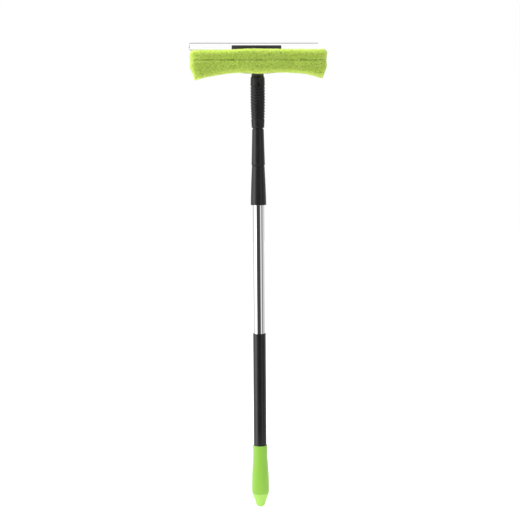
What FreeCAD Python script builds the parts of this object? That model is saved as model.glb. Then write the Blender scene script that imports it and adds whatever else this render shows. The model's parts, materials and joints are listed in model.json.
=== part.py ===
"""Telescopic window squeegee: a microfibre scrubber and a rubber blade on one head, a
hand-held grip that pushes onto a pole, and a pole of two tubes with a twist lock inside.

Frame: millimetres, +Z up the pole, the scrubber faces -Y and the rubber points to +Y.
The origin is the centre of the hanging hole, on the pole's axis.
"""
import FreeCAD, Part
import os
import Sketcher
from FreeCAD import Placement, Rotation, Vector

# Every driving size. Names that end in _z are heights above the hanging hole.
SIZES = {
    # end cap with the hanging hole
    "hole_radius": 3.0,
    "hole_length": 18.4,
    "hole_face_radius": 4.2,
    "cap_bottom_z": -14.0,
    "cap_nose_z": -10.8,
    "cap_nose_radius": 8.2,
    "cap_waist_z": 1.0,
    "cap_waist_radius": 12.2,
    "cap_top_z": 15.0,
    "cap_top_radius": 16.9,
    "cap_plug_top_z": 30.0,
    # hand grip on the lower tube
    "hand_grip_foot_radius": 17.3,
    "hand_grip_belly_z": 25.0,
    "hand_grip_belly_radius": 17.7,
    "hand_grip_flank_z": 52.0,
    "hand_grip_flank_radius": 16.85,
    "hand_grip_neck_z": 85.0,
    "hand_grip_neck_radius": 14.6,
    "hand_grip_top_z": 110.4,
    # lower and upper tube
    "outer_tube_radius": 12.5,
    "outer_tube_wall": 0.6,
    "outer_tube_top_z": 334.6,
    "inner_tube_radius": 11.0,
    "inner_tube_wall": 0.8,
    "inner_tube_bottom_z": 285.0,
    "inner_tube_top_z": 640.0,
    "bush_length": 30.0,
    "running_gap": 0.05,
    # twist lock
    "plug_depth": 20.0,
    "plug_flange": 3.0,
    "spindle_radius": 3.5,
    "spindle_bottom_z": 255.0,
    "expander_gap": 0.1,
    "expander_top_z": 281.7,
    "expander_bottom_z": 262.0,
    "expander_lip": 2.2,
    "expander_lip_radius": 4.2,
    "expander_throat_radius": 7.0,
    "expander_mouth_radius": 9.5,
    "expander_slit": 1.8,
    "wedge_gap": 0.3,
    "wedge_top_z": 272.0,
    "wedge_top_radius": 7.75,
    "wedge_bottom_z": 257.4,
    "wedge_key": 1.2,
    "end_screw_radius": 1.5,
    "end_screw_length": 12.0,
    "end_screw_head_radius": 5.0,
    "end_screw_head": 2.6,
    # pole connector
    "connector_bottom_z": 587.4,
    "connector_bottom_radius": 15.1,
    "connector_flank_z": 620.0,
    "connector_flank_radius": 14.2,
    "connector_top_radius": 12.3,
    "spigot_radius": 8.45,
    "spigot_bore_radius": 5.5,
    "spigot_top_z": 722.0,
    "rivet_z": 606.0,
    "rivet_radius": 1.6,
    "rivet_head_radius": 3.2,
    # handle of the hand squeegee
    "handle_bottom_z": 664.5,
    "handle_bottom_radius": 13.1,
    "handle_bevel": 0.9,
    "handle_waist_z": 700.0,
    "handle_waist_radius": 12.1,
    "handle_step_z": 734.4,
    "handle_step_radius": 11.3,
    "handle_bore_radius": 8.5,
    "handle_bore_top_z": 724.0,
    "handle_hollow_radius": 6.0,
    "tongue_width": 8.8,
    "tongue_drop": 2.4,
    "tongue_depth": 3.2,
    "notch_play": 0.3,
    # ribbed rubber grip on the handle
    "grip_bottom_z": 736.6,
    "grip_top_z": 836.1,
    "grip_bore_radius": 9.6,
    "grip_foot_radius": 12.1,
    "grip_belly_z": 800.0,
    "grip_belly_radius": 14.05,
    "grip_bulge": 0.0005,
    "grip_rim_radius": 11.5,
    "rib_first_z": 754.6,
    "rib_pitch": 5.58,
    "rib_half_width": 1.2,
    "rib_depth": 1.3,
    # neck, and the screw that holds it
    "neck_radius": 11.8,
    "neck_top_z": 843.0,
    "neck_root_radius": 9.0,
    "neck_spigot_radius": 8.0,
    "neck_spigot_bottom_z": 792.0,
    "neck_screw_z": 820.4,
    "neck_screw_radius": 1.6,
    "neck_screw_head_radius": 2.3,
    "neck_screw_head": 2.2,
    "neck_screw_tip": 2.0,
    # head frame
    "bar_length": 244.0,
    "bar_thickness": 8.0,
    "bar_bottom_z": 850.0,
    "bar_top_z": 880.0,
    "bracket_width": 96.0,
    "bracket_heel": 13.5,
    "shelf_back": 28.7,
    "shelf_bottom_z": 876.0,
    "lip_thickness": 3.4,
    "lip_top_z": 895.7,
    # blade channel and rubber
    "channel_length": 250.0,
    "channel_shift": -4.5,
    "channel_front": 17.0,
    "channel_depth": 12.0,
    "channel_height": 14.0,
    "channel_bottom_z": 886.4,
    "channel_wall": 1.0,
    "channel_mouth": 5.0,
    "rubber_thickness": 3.0,
    "rubber_edge": 2.0,
    "rubber_reach": 42.0,
    # clamp behind the channel
    "jaw_thickness": 3.2,
    "jaw_bottom_z": 875.0,
    "jaw_top_z": 890.4,
    "clamp_screw_spacing": 60.0,
    "clamp_screw_z": 881.0,
    "clamp_screw_radius": 2.0,
    "clamp_screw_head_radius": 3.8,
    "clamp_screw_head": 2.6,
    "clamp_screw_tip": 15.0,
    "nut_across_flats": 7.0,
    "nut_thickness": 3.2,
    "nut_front": 18.5,
    # sponge, sleeve and the tape that closes it
    "sponge_front": -26.0,
    "sponge_bottom_z": 846.0,
    "sponge_top_z": 881.0,
    "sponge_round": 8.0,
    "tape_length": 60.0,
    "tape_width": 18.0,
    "tape_start": 54.0,
    "tape_thickness": 1.1,
    "sleeve_front": -31.0,
    "sleeve_back": 10.0,
    "sleeve_half_top": 131.0,
    "sleeve_half_bottom": 127.0,
    "sleeve_end_top_z": 881.8,
    "sleeve_mid_top_z": 885.8,
    "sleeve_end_bottom_z": 828.0,
    "sleeve_mid_bottom_z": 842.4,
    "sleeve_round": 6.0,
    "sleeve_slot_width": 104.0,
}

RIB_COUNT = 12

doc = FreeCAD.newDocument("window_squeegee")
sheet = doc.addObject("Spreadsheet::Sheet", "Sizes")
for row, (word, number) in enumerate(SIZES.items(), start=1):
    sheet.set(f"A{row}", word)
    sheet.set(f"B{row}", str(number))
    sheet.setAlias(f"B{row}", word)
doc.recompute()

nodes = {}


def bound(formula):
    """The formula with each size's name pointing into the sheet."""
    words = []
    word = ""
    for letter in str(formula) + " ":
        if letter.isalnum() or letter in "_.":
            word += letter
        else:
            words.append("Sizes." + word if word in SIZES else word)
            words.append(letter)
            word = ""
    return "".join(words).strip()


def value(formula):
    """What a formula gives with the sheet's present sizes."""
    return float(sheet.evalExpression(bound(formula)))


def node(thing, name):
    """Keep a finished sub-part under the name of its file."""
    thing.Label = name
    nodes[name] = thing
    return thing


def new_body(name):
    return node(doc.addObject("PartDesign::Body", name + "_body"), name)


def plane(body, role):
    return next(feature for feature in body.Origin.OriginFeatures if feature.Role == role)


def new_sketch(body, role, offset="0"):
    """An empty sketch on one of the body's own origin planes, moved along its normal."""
    sketch = body.newObject("Sketcher::SketchObject", body.Label + "_sketch")
    sketch.AttachmentSupport = (plane(body, role), "")
    sketch.MapMode = "FlatFace"
    sketch.setExpression("AttachmentOffset.Base.z", bound(offset))
    return sketch


def pin_point(sketch, geometry, end, across, up):
    """Hold one point of a sketch at two formulas, measured from the sketch's origin."""
    for kind, formula in (("DistanceX", across), ("DistanceY", up)):
        index = sketch.addConstraint(
            Sketcher.Constraint(kind, -1, 1, geometry, end, value(formula))
        )
        sketch.setExpression(f"Constraints[{index}]", bound(formula))


def outline(sketch, corners):
    """A closed outline. A corner is (across, up), or (across, up, via_across, via_up) where
    the edge that leaves it is an arc through the second point."""
    spots = [Vector(value(corner[0]), value(corner[1]), 0) for corner in corners]
    edges = []
    for number, corner in enumerate(corners):
        start = spots[number]
        end = spots[(number + 1) % len(spots)]
        if len(corner) == 2:
            edges.append(sketch.addGeometry(Part.LineSegment(start, end), False))
            continue
        via = Vector(value(corner[2]), value(corner[3]), 0)
        edges.append(sketch.addGeometry(Part.Arc(start, via, end), False))
        # an arc always runs anticlockwise, so its first point may be the far corner
        on_arc = sketch.addGeometry(Part.Point(via), True)
        sketch.addConstraint(Sketcher.Constraint("PointOnObject", on_arc, 1, edges[-1]))
        pin_point(sketch, on_arc, 1, corner[2], corner[3])
    for number, edge in enumerate(edges):
        following = (number + 1) % len(edges)
        leaves = point_at(sketch, edge, spots[following])
        enters = point_at(sketch, edges[following], spots[following])
        sketch.addConstraint(
            Sketcher.Constraint("Coincident", edge, leaves, edges[following], enters)
        )
    for number, edge in enumerate(edges):
        pin_point(sketch, edge, point_at(sketch, edge, spots[number]), *corners[number][:2])


def point_at(sketch, geometry, spot):
    """Which end of an edge lies at a spot: 1 for its start, 2 for its end."""
    gaps = [(sketch.getPoint(geometry, end) - spot).Length for end in (1, 2)]
    return 1 if gaps[0] < gaps[1] else 2


def circle(sketch, across, up, radius):
    """A circle held by its centre and its radius."""
    centre = Vector(value(across), value(up), 0)
    ring = sketch.addGeometry(Part.Circle(centre, Vector(0, 0, 1), value(radius)), False)
    index = sketch.addConstraint(Sketcher.Constraint("Radius", ring, value(radius)))
    sketch.setExpression(f"Constraints[{index}]", bound(radius))
    pin_point(sketch, ring, 3, across, up)


def turned(body, corners):
    """Revolve an outline given as (radius, height) about the pole's axis."""
    sketch = new_sketch(body, "XZ_Plane")
    outline(sketch, corners)
    feature = body.newObject("PartDesign::Revolution", body.Label + "_turned")
    feature.Profile = sketch
    feature.ReferenceAxis = (sketch, ["V_Axis"])
    feature.Angle = 360.0
    doc.recompute()


def along_x(body, corners, length, centre="0"):
    """Push an outline given as (y, z) along X, the same distance each way from centre."""
    sketch = new_sketch(body, "YZ_Plane", centre)
    outline(sketch, corners)
    return extrude(body, sketch, length, both_ways=True)


def extrude(body, sketch, length, kind="Pad", both_ways=False, reverse=False):
    """A Pad or a Pocket. A Pocket that takes nothing away is an error."""
    feature = body.newObject("PartDesign::" + kind, f"{body.Label}_{kind.lower()}")
    feature.Profile = sketch
    feature.SideType = "Symmetric" if both_ways else "One side"
    feature.Reversed = reverse
    feature.setExpression("Length", bound(length))
    before = body.Shape.Volume if kind == "Pocket" else 0.0
    doc.recompute()
    if kind == "Pocket" and body.Shape.Volume > before - 0.1:
        raise RuntimeError(feature.Name + " cuts nothing")
    return feature


def rod(radius, length, x="0", y="0", z="0", axis="Z"):
    """A Part cylinder that starts at a point and runs along +X, +Y or +Z."""
    turns = {
        "X": Rotation(Vector(0, 1, 0), 90),
        "Y": Rotation(Vector(1, 0, 0), -90),
        "Z": Rotation(),
    }
    cylinder = doc.addObject("Part::Cylinder", "rod")
    cylinder.setExpression("Radius", bound(radius))
    cylinder.setExpression("Height", bound(length))
    cylinder.Placement = Placement(Vector(), turns[axis])
    for side, formula in zip("xyz", (x, y, z)):
        cylinder.setExpression(f"Placement.Base.{side}", bound(formula))
    return cylinder


def joined(pieces):
    """One shape from several Part objects; solids that do not touch stay separate."""
    fuse = doc.addObject("Part::MultiFuse", "joined")
    fuse.Shapes = pieces
    return fuse


def tube(name, outside, inside, bottom, top):
    """A plain tube on the pole's axis."""
    turned(new_body(name), [
        (inside, bottom),
        (outside, bottom),
        (outside, top),
        (inside, top),
    ])


def drill_rivet_hole(body):
    """The hole through the back of the connector, and of the tube inside it."""
    hole = new_sketch(body, "XZ_Plane")
    circle(hole, "0", "rivet_z", "rivet_radius + 0.02")
    extrude(body, hole, "30", "Pocket")


# ------------------------------------------------------------------ lower pole

def make_end_cap():
    """Green cap plugged into the lower tube, with the hole to hang the pole by."""
    body = new_body("end_cap")
    bore = "outer_tube_radius - outer_tube_wall"
    turned(body, [
        ("0", "cap_bottom_z", "cap_nose_radius * 0.68", "cap_bottom_z + 1.3"),
        ("cap_nose_radius", "cap_nose_z", "cap_waist_radius", "cap_waist_z"),
        ("cap_top_radius", "cap_top_z - 0.9"),
        ("cap_top_radius - 0.9", "cap_top_z"),
        (bore, "cap_top_z"),
        (bore, "cap_plug_top_z - 1.5"),
        (bore + " - 1", "cap_plug_top_z"),
        ("0", "cap_plug_top_z"),
    ])
    through = new_sketch(body, "YZ_Plane")
    circle(through, "0", "0", "hole_radius")
    extrude(body, through, "60", "Pocket", True)
    for side, turn in (("hole_length / 2", False), ("-hole_length / 2", True)):
        face = new_sketch(body, "YZ_Plane", side)
        circle(face, "0", "0", "hole_face_radius")
        extrude(body, face, "20", "Pocket", reverse=not turn)


def make_hand_grip():
    """Soft sleeve on the lower tube, fullest just above the cap."""
    body = new_body("hand_grip")
    turned(body, [
        ("outer_tube_radius", "cap_top_z"),
        ("hand_grip_foot_radius - 1", "cap_top_z"),
        ("hand_grip_foot_radius", "cap_top_z + 1.2",
         "hand_grip_belly_radius - 0.1", "hand_grip_belly_z - 4.4"),
        ("hand_grip_belly_radius", "hand_grip_belly_z",
         "hand_grip_flank_radius", "hand_grip_flank_z"),
        ("hand_grip_neck_radius", "hand_grip_neck_z"),
        ("hand_grip_neck_radius", "hand_grip_top_z - 1",
         "hand_grip_neck_radius - 0.3", "hand_grip_top_z - 0.3"),
        ("hand_grip_neck_radius - 1", "hand_grip_top_z"),
        ("outer_tube_radius", "hand_grip_top_z"),
    ])


def make_tubes():
    """The two tubes and the bush that guides one in the other."""
    tube("outer_tube", "outer_tube_radius", "outer_tube_radius - outer_tube_wall",
         "cap_top_z", "outer_tube_top_z")
    tube("guide_bush", "outer_tube_radius - outer_tube_wall", "inner_tube_radius + running_gap",
         "outer_tube_top_z - bush_length", "outer_tube_top_z")
    tube("inner_tube", "inner_tube_radius", "inner_tube_radius - inner_tube_wall",
         "inner_tube_bottom_z", "inner_tube_top_z")
    drill_rivet_hole(nodes["inner_tube"])


# ------------------------------------------------------------------ twist lock

def make_lock_plug():
    """Plug pressed into the upper tube, with the spindle that carries the wedge."""
    body = new_body("lock_plug")
    bore = "inner_tube_radius - inner_tube_wall"
    turned(body, [
        ("0", "spindle_bottom_z + end_screw_length"),
        ("end_screw_radius", "spindle_bottom_z + end_screw_length"),
        ("end_screw_radius", "spindle_bottom_z"),
        ("spindle_radius", "spindle_bottom_z"),
        ("spindle_radius", "inner_tube_bottom_z - plug_flange"),
        ("inner_tube_radius", "inner_tube_bottom_z - plug_flange"),
        ("inner_tube_radius", "inner_tube_bottom_z"),
        (bore, "inner_tube_bottom_z"),
        (bore, "inner_tube_bottom_z + plug_depth"),
        ("0", "inner_tube_bottom_z + plug_depth"),
    ])


def make_lock_expander():
    """Split sleeve that the wedge spreads against the lower tube."""
    body = new_body("lock_expander")
    outside = "outer_tube_radius - outer_tube_wall - expander_gap"
    turned(body, [
        ("expander_mouth_radius", "expander_bottom_z"),
        (outside, "expander_bottom_z"),
        (outside, "expander_top_z"),
        ("expander_lip_radius", "expander_top_z"),
        ("expander_lip_radius", "expander_top_z - expander_lip"),
        ("expander_throat_radius", "expander_top_z - expander_lip"),
    ])
    slit = new_sketch(body, "XY_Plane", "expander_bottom_z - 1")
    outline(slit, [
        ("2", "-expander_slit / 2"), ("20", "-expander_slit / 2"),
        ("20", "expander_slit / 2"), ("2", "expander_slit / 2"),
    ])
    extrude(body, slit, "expander_top_z - expander_bottom_z + 2", "Pocket", reverse=True)


def make_lock_wedge():
    """Cone nut on the spindle, with a key in the expander's slit that stops it turning."""
    body = new_body("lock_wedge")
    mouth = "expander_mouth_radius - wedge_gap"
    bore = "spindle_radius + running_gap * 2"
    turned(body, [
        (bore, "wedge_bottom_z"),
        (mouth, "wedge_bottom_z"),
        (mouth, "expander_bottom_z"),
        ("wedge_top_radius", "wedge_top_z"),
        (bore, "wedge_top_z"),
    ])
    key = new_sketch(body, "XY_Plane", "wedge_bottom_z")
    outline(key, [
        ("5", "-wedge_key / 2"), ("expander_mouth_radius + 1.8", "-wedge_key / 2"),
        ("expander_mouth_radius + 1.8", "wedge_key / 2"), ("5", "wedge_key / 2"),
    ])
    extrude(body, key, "wedge_top_z - wedge_bottom_z - 2")


def make_lock_end_screw():
    """Screw with a wide head that keeps the wedge on the spindle."""
    head = rod("end_screw_head_radius", "end_screw_head", z="spindle_bottom_z - end_screw_head")
    shank = rod("end_screw_radius", "end_screw_length + 0.5", z="spindle_bottom_z - 0.5")
    node(joined([head, shank]), "lock_end_screw")


# ------------------------------------------------------------------ connector

def make_pole_connector():
    """Tapered socket on the upper tube, with the spigot that the hand squeegee pushes onto."""
    body = new_body("pole_connector")
    turned(body, [
        ("inner_tube_radius", "connector_bottom_z"),
        ("connector_bottom_radius - 0.5", "connector_bottom_z"),
        ("connector_bottom_radius", "connector_bottom_z + 0.5",
         "connector_flank_radius", "connector_flank_z"),
        ("connector_top_radius", "handle_bottom_z - handle_bevel"),
        ("connector_top_radius - handle_bevel", "handle_bottom_z"),
        ("spigot_radius", "handle_bottom_z"),
        ("spigot_radius", "spigot_top_z - 2"),
        ("spigot_radius - 1", "spigot_top_z"),
        ("spigot_bore_radius", "spigot_top_z"),
        ("spigot_bore_radius", "inner_tube_top_z"),
        ("inner_tube_radius", "inner_tube_top_z"),
    ])
    half = "tongue_width / 2 + notch_play"
    notch = new_sketch(body, "XY_Plane", "handle_bottom_z - tongue_drop - notch_play")
    outline(notch, [
        ("-(" + half + ")", "-20"), (half, "-20"),
        (half, "-spigot_radius - 0.2"), ("-(" + half + ")", "-spigot_radius - 0.2"),
    ])
    extrude(body, notch, "tongue_drop + notch_play + 1", "Pocket", reverse=True)
    drill_rivet_hole(body)


def make_connector_rivet():
    """Blind rivet through the connector's back and the tube."""
    wall = "inner_tube_radius - inner_tube_wall - 1"
    outside = "connector_bottom_radius - 0.35"
    head = rod("rivet_head_radius", "1.1", y=outside, z="rivet_z", axis="Y")
    shank = rod("rivet_radius", outside + " - (" + wall + ") + 0.5", y=wall, z="rivet_z", axis="Y")
    node(joined([head, shank]), "connector_rivet")


# ------------------------------------------------------------------ hand squeegee

def make_handle_core():
    """Moulded handle: bore for the connector below, bore for the head's neck above."""
    body = new_body("handle_core")
    groove = "grip_bore_radius + 0.3"
    turned(body, [
        ("handle_bore_radius", "handle_bottom_z"),
        ("handle_bottom_radius - handle_bevel", "handle_bottom_z"),
        ("handle_bottom_radius", "handle_bottom_z + handle_bevel",
         "handle_waist_radius", "handle_waist_z"),
        ("handle_step_radius", "handle_step_z - 0.5"),
        ("handle_step_radius - 0.5", "handle_step_z"),
        (groove, "handle_step_z"),
        (groove, "grip_bottom_z"),
        ("grip_bore_radius", "grip_bottom_z"),
        ("grip_bore_radius", "grip_top_z"),
        ("neck_spigot_radius", "grip_top_z"),
        ("neck_spigot_radius", "neck_spigot_bottom_z"),
        ("handle_hollow_radius", "neck_spigot_bottom_z"),
        ("handle_hollow_radius", "handle_bore_top_z"),
        ("handle_bore_radius", "handle_bore_top_z"),
    ])
    tongue = new_sketch(body, "XY_Plane", "handle_bottom_z - tongue_drop")
    half = "tongue_width / 2"
    face = "handle_bottom_radius - handle_bevel"
    edge = "-sqrt((" + face + ") ^ 2 - (tongue_width / 2) ^ 2)"
    inner = "-(" + face + ") + tongue_depth"
    outline(tongue, [
        ("-" + half, inner),
        ("-" + half, edge, "0", "-(" + face + ")"),
        (half, edge),
        (half, inner),
    ])
    extrude(body, tongue, "tongue_drop + 2")
    pilot = new_sketch(body, "XZ_Plane")
    circle(pilot, "0", "neck_screw_z", "neck_screw_radius")
    extrude(body, pilot, "20", "Pocket", reverse=True)


def grip_surface(height):
    """The radius of the ribbed grip at a height: greatest at its belly."""
    return f"grip_belly_radius - grip_bulge * ({height} - grip_belly_z) ^ 2"


def make_ribbed_grip():
    """Soft rubber sleeve with a row of ring grooves."""
    body = new_body("ribbed_grip")
    profile = [
        ("grip_bore_radius", "grip_bottom_z"),
        ("grip_foot_radius - 0.6", "grip_bottom_z"),
        ("grip_foot_radius", "grip_bottom_z + 0.6"),
    ]
    for number in range(RIB_COUNT):
        middle = f"(rib_first_z + {number} * rib_pitch)"
        lower = middle + " - rib_half_width"
        upper = middle + " + rib_half_width"
        floor = grip_surface(middle) + " - rib_depth"
        profile.append((grip_surface(lower), lower, floor, middle))
        profile.append((grip_surface(upper), upper))
    shoulder = "grip_top_z - 4"
    profile += [
        (grip_surface(shoulder), shoulder, "grip_rim_radius + 0.9", "grip_top_z - 1.2"),
        ("grip_rim_radius", "grip_top_z"),
        ("grip_bore_radius", "grip_top_z"),
    ]
    turned(body, profile)
    access = new_sketch(body, "XZ_Plane")
    circle(access, "0", "neck_screw_z", "neck_screw_head_radius + 0.4")
    extrude(body, access, "20", "Pocket", reverse=True)


def make_neck_screw():
    """Screw from the front, through the handle into the head's neck, with a round recess."""
    seat = "-grip_bore_radius"
    top = seat + " - neck_screw_head"
    head = rod("neck_screw_head_radius", "neck_screw_head", y=top, z="neck_screw_z", axis="Y")
    shank = rod("neck_screw_radius", "grip_bore_radius - neck_screw_tip + 0.5",
                y=seat + " - 0.5", z="neck_screw_z", axis="Y")
    recess = rod("neck_screw_radius * 0.7", "1.2",
                 y=top + " - 0.2", z="neck_screw_z", axis="Y")
    cut = doc.addObject("Part::Cut", "neck_screw_cut")
    cut.Base = joined([head, shank])
    cut.Tool = recess
    node(cut, "neck_screw")


# ------------------------------------------------------------------ head

def make_head_frame():
    """Black T-shaped moulding: neck, bar for the scrubber, bracket with the channel's seat."""
    body = new_body("head_frame")
    half = "bar_thickness / 2"
    along_x(body, [
        ("-" + half, "bar_bottom_z"),
        (half, "bar_bottom_z"),
        (half, "bar_top_z"),
        ("-" + half, "bar_top_z"),
    ], "bar_length")
    lip_back = "bracket_heel + lip_thickness"
    along_x(body, [
        ("0", "bar_bottom_z"),
        ("bracket_heel - 4", "bar_bottom_z"),
        ("bracket_heel", "bar_bottom_z + 8"),
        ("bracket_heel", "shelf_bottom_z - 8"),
        ("shelf_back", "shelf_bottom_z"),
        ("shelf_back", "channel_bottom_z"),
        (lip_back, "channel_bottom_z"),
        (lip_back, "lip_top_z - 0.6"),
        (lip_back + " - 0.6", "lip_top_z", "bracket_heel + 1.1", "lip_top_z - 1.3"),
        ("bracket_heel", "lip_top_z - 4.6"),
        ("bracket_heel", "bar_top_z"),
        ("0", "bar_top_z"),
    ], "bracket_width")
    turned(body, [
        ("0", "neck_spigot_bottom_z"),
        ("neck_spigot_radius - 0.8", "neck_spigot_bottom_z"),
        ("neck_spigot_radius", "neck_spigot_bottom_z + 1.5"),
        ("neck_spigot_radius", "grip_top_z"),
        ("neck_radius", "grip_top_z"),
        ("neck_radius", "neck_top_z"),
        ("neck_root_radius", "bar_bottom_z + 5"),
        ("0", "bar_bottom_z + 5"),
    ])
    pilot = new_sketch(body, "XZ_Plane")
    circle(pilot, "0", "neck_screw_z", "neck_screw_radius")
    extrude(body, pilot, "20", "Pocket", reverse=True)
    for side in ("-", ""):
        across = side + "clamp_screw_spacing / 2"
        hole = new_sketch(body, "XZ_Plane", "-(shelf_back + 1)")
        circle(hole, across, "clamp_screw_z", "clamp_screw_radius + 0.2")
        extrude(body, hole, "shelf_back + 1 - clamp_screw_tip + 0.4", "Pocket", reverse=True)
        slot = new_sketch(body, "XY_Plane", "clamp_screw_z + nut_across_flats / 2 + 0.6")
        left = across + " - nut_across_flats / 2 - 0.1"
        right = across + " + nut_across_flats / 2 + 0.1"
        outline(slot, [
            (left, "nut_front - 0.1"), (right, "nut_front - 0.1"),
            (right, "nut_front + nut_thickness + 0.1"), (left, "nut_front + nut_thickness + 0.1"),
        ])
        extrude(body, slot, "30", "Pocket")


def make_squeegee_channel():
    """Polished channel with its mouth to the back and turned-in lips."""
    body = new_body("squeegee_channel")
    back = "channel_front + channel_depth"
    top = "channel_bottom_z + channel_height"
    middle = "channel_bottom_z + channel_height / 2"
    wall = "channel_wall"
    along_x(body, [
        ("channel_front + 1.2", "channel_bottom_z"),
        (back, "channel_bottom_z"),
        (back, middle + " - channel_mouth / 2"),
        (back + " - " + wall, middle + " - channel_mouth / 2"),
        (back + " - " + wall, "channel_bottom_z + channel_wall"),
        ("channel_front + channel_wall", "channel_bottom_z + channel_wall"),
        ("channel_front + channel_wall", top + " - " + wall),
        (back + " - " + wall, top + " - " + wall),
        (back + " - " + wall, middle + " + channel_mouth / 2"),
        (back, middle + " + channel_mouth / 2"),
        (back, top),
        ("channel_front + 1.2", top, "channel_front + 0.35", top + " - 0.35"),
        ("channel_front", top + " - 1.2"),
        ("channel_front", "channel_bottom_z + 1.2", "channel_front + 0.35", "channel_bottom_z + 0.35"),
    ], "channel_length", "channel_shift")


def make_rubber_blade():
    """Rubber strip: a root inside the channel and a thin blade out of its mouth."""
    body = new_body("rubber_blade")
    middle = "channel_bottom_z + channel_height / 2"
    root = "(channel_height / 2 - channel_wall - 0.4)"
    front = "channel_front + channel_wall + 0.3"
    along_x(body, [
        (front, middle + " - " + root),
        ("channel_front + 10", middle + " - " + root),
        ("channel_front + 10.6", middle + " - rubber_thickness / 2"),
        ("channel_front + channel_depth + 1", middle + " - rubber_thickness / 2"),
        ("rubber_reach", middle + " - rubber_edge / 2"),
        ("rubber_reach", middle + " + rubber_edge / 2"),
        ("channel_front + channel_depth + 1", middle + " + rubber_thickness / 2"),
        ("channel_front + 10.6", middle + " + rubber_thickness / 2"),
        ("channel_front + 10", middle + " + " + root),
        (front, middle + " + " + root),
    ], "channel_length", "channel_shift")


def make_channel_clamp():
    """Rear jaw that presses the channel against the bracket's lip."""
    body = new_body("channel_clamp")
    front = "channel_front + channel_depth"
    back = front + " + jaw_thickness"
    along_x(body, [
        (front, "jaw_bottom_z"),
        (back + " - 1", "jaw_bottom_z"),
        (back, "jaw_bottom_z + 1"),
        (back, "jaw_top_z - 1"),
        (back + " - 1", "jaw_top_z"),
        (front, "jaw_top_z"),
    ], "bracket_width")
    for side in ("-", ""):
        hole = new_sketch(body, "XZ_Plane", "-(" + back + ") - 1")
        circle(hole, side + "clamp_screw_spacing / 2", "clamp_screw_z", "clamp_screw_radius + 0.2")
        extrude(body, hole, "jaw_thickness + 2", "Pocket", reverse=True)


def make_clamp_fasteners():
    """Two screws along Y through the jaw, each in a hexagon nut held in a slot."""
    seat = "channel_front + channel_depth + jaw_thickness"
    screws = []
    nuts = []
    for side in ("-", ""):
        across = side + "clamp_screw_spacing / 2"
        head = rod("clamp_screw_head_radius", "clamp_screw_head",
                   across, seat, "clamp_screw_z", "Y")
        shank = rod("clamp_screw_radius", seat + " - clamp_screw_tip + 0.5", across,
                    "clamp_screw_tip", "clamp_screw_z", "Y")
        screws += [head, shank]
        prism = doc.addObject("Part::Prism", "nut_prism")
        prism.Polygon = 6
        prism.setExpression("Circumradius", bound("nut_across_flats / sqrt(3)"))
        prism.setExpression("Height", bound("nut_thickness"))
        flats_up = Rotation(Vector(1, 0, 0), -90) * Rotation(Vector(0, 0, 1), 30)
        prism.Placement = Placement(Vector(), flats_up)
        for letter, formula in zip("xyz", (across, "nut_front", "clamp_screw_z")):
            prism.setExpression(f"Placement.Base.{letter}", bound(formula))
        bore = rod("clamp_screw_radius", "nut_thickness + 2",
                   across, "nut_front - 1", "clamp_screw_z", "Y")
        nut = doc.addObject("Part::Cut", "nut")
        nut.Base = prism
        nut.Tool = bore
        nuts.append(nut)
    node(joined(screws), "clamp_screws")
    node(joined(nuts), "clamp_nuts")


# ------------------------------------------------------------------ scrubber

def make_sponge_core():
    """Foam block on the front of the bar, with a relief for the neck."""
    body = new_body("sponge_core")
    back = "-bar_thickness / 2"
    block = along_x(body, [
        ("sponge_front", "sponge_bottom_z"), (back, "sponge_bottom_z"),
        (back, "sponge_top_z"), ("sponge_front", "sponge_top_z"),
    ], "bar_length")
    long_front = [
        f"Edge{number}" for number, edge in enumerate(block.Shape.Edges, start=1)
        if edge.Length > 50 and abs(edge.CenterOfMass.y - value("sponge_front")) < 0.1
    ]
    rounding = body.newObject("PartDesign::Fillet", "sponge_rounding")
    rounding.Base = (block, long_front)
    rounding.setExpression("Radius", bound("sponge_round"))
    doc.recompute()
    relief = new_sketch(body, "XY_Plane", "sponge_bottom_z - 1")
    circle(relief, "0", "0", "neck_radius + 0.4")
    extrude(body, relief, "bar_bottom_z + 6 - sponge_bottom_z + 1", "Pocket", reverse=True)


def make_closure_tapes():
    """Hook tape on the back of the bar and loop tape in the sleeve, left and right."""
    for name, layer in (("hook_tapes", "0"), ("loop_tapes", "tape_thickness")):
        strips = []
        for start in ("tape_start", "-tape_start - tape_length"):
            strip = doc.addObject("Part::Box", "tape")
            strip.setExpression("Length", bound("tape_length"))
            strip.setExpression("Width", bound("tape_thickness"))
            strip.setExpression("Height", bound("tape_width"))
            front = "bar_thickness / 2 + " + layer
            bottom = "(bar_bottom_z + bar_top_z - tape_width) / 2"
            for letter, formula in zip("xyz", (start, front, bottom)):
                strip.setExpression(f"Placement.Base.{letter}", bound(formula))
            strips.append(strip)
        node(joined(strips), name)


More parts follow.
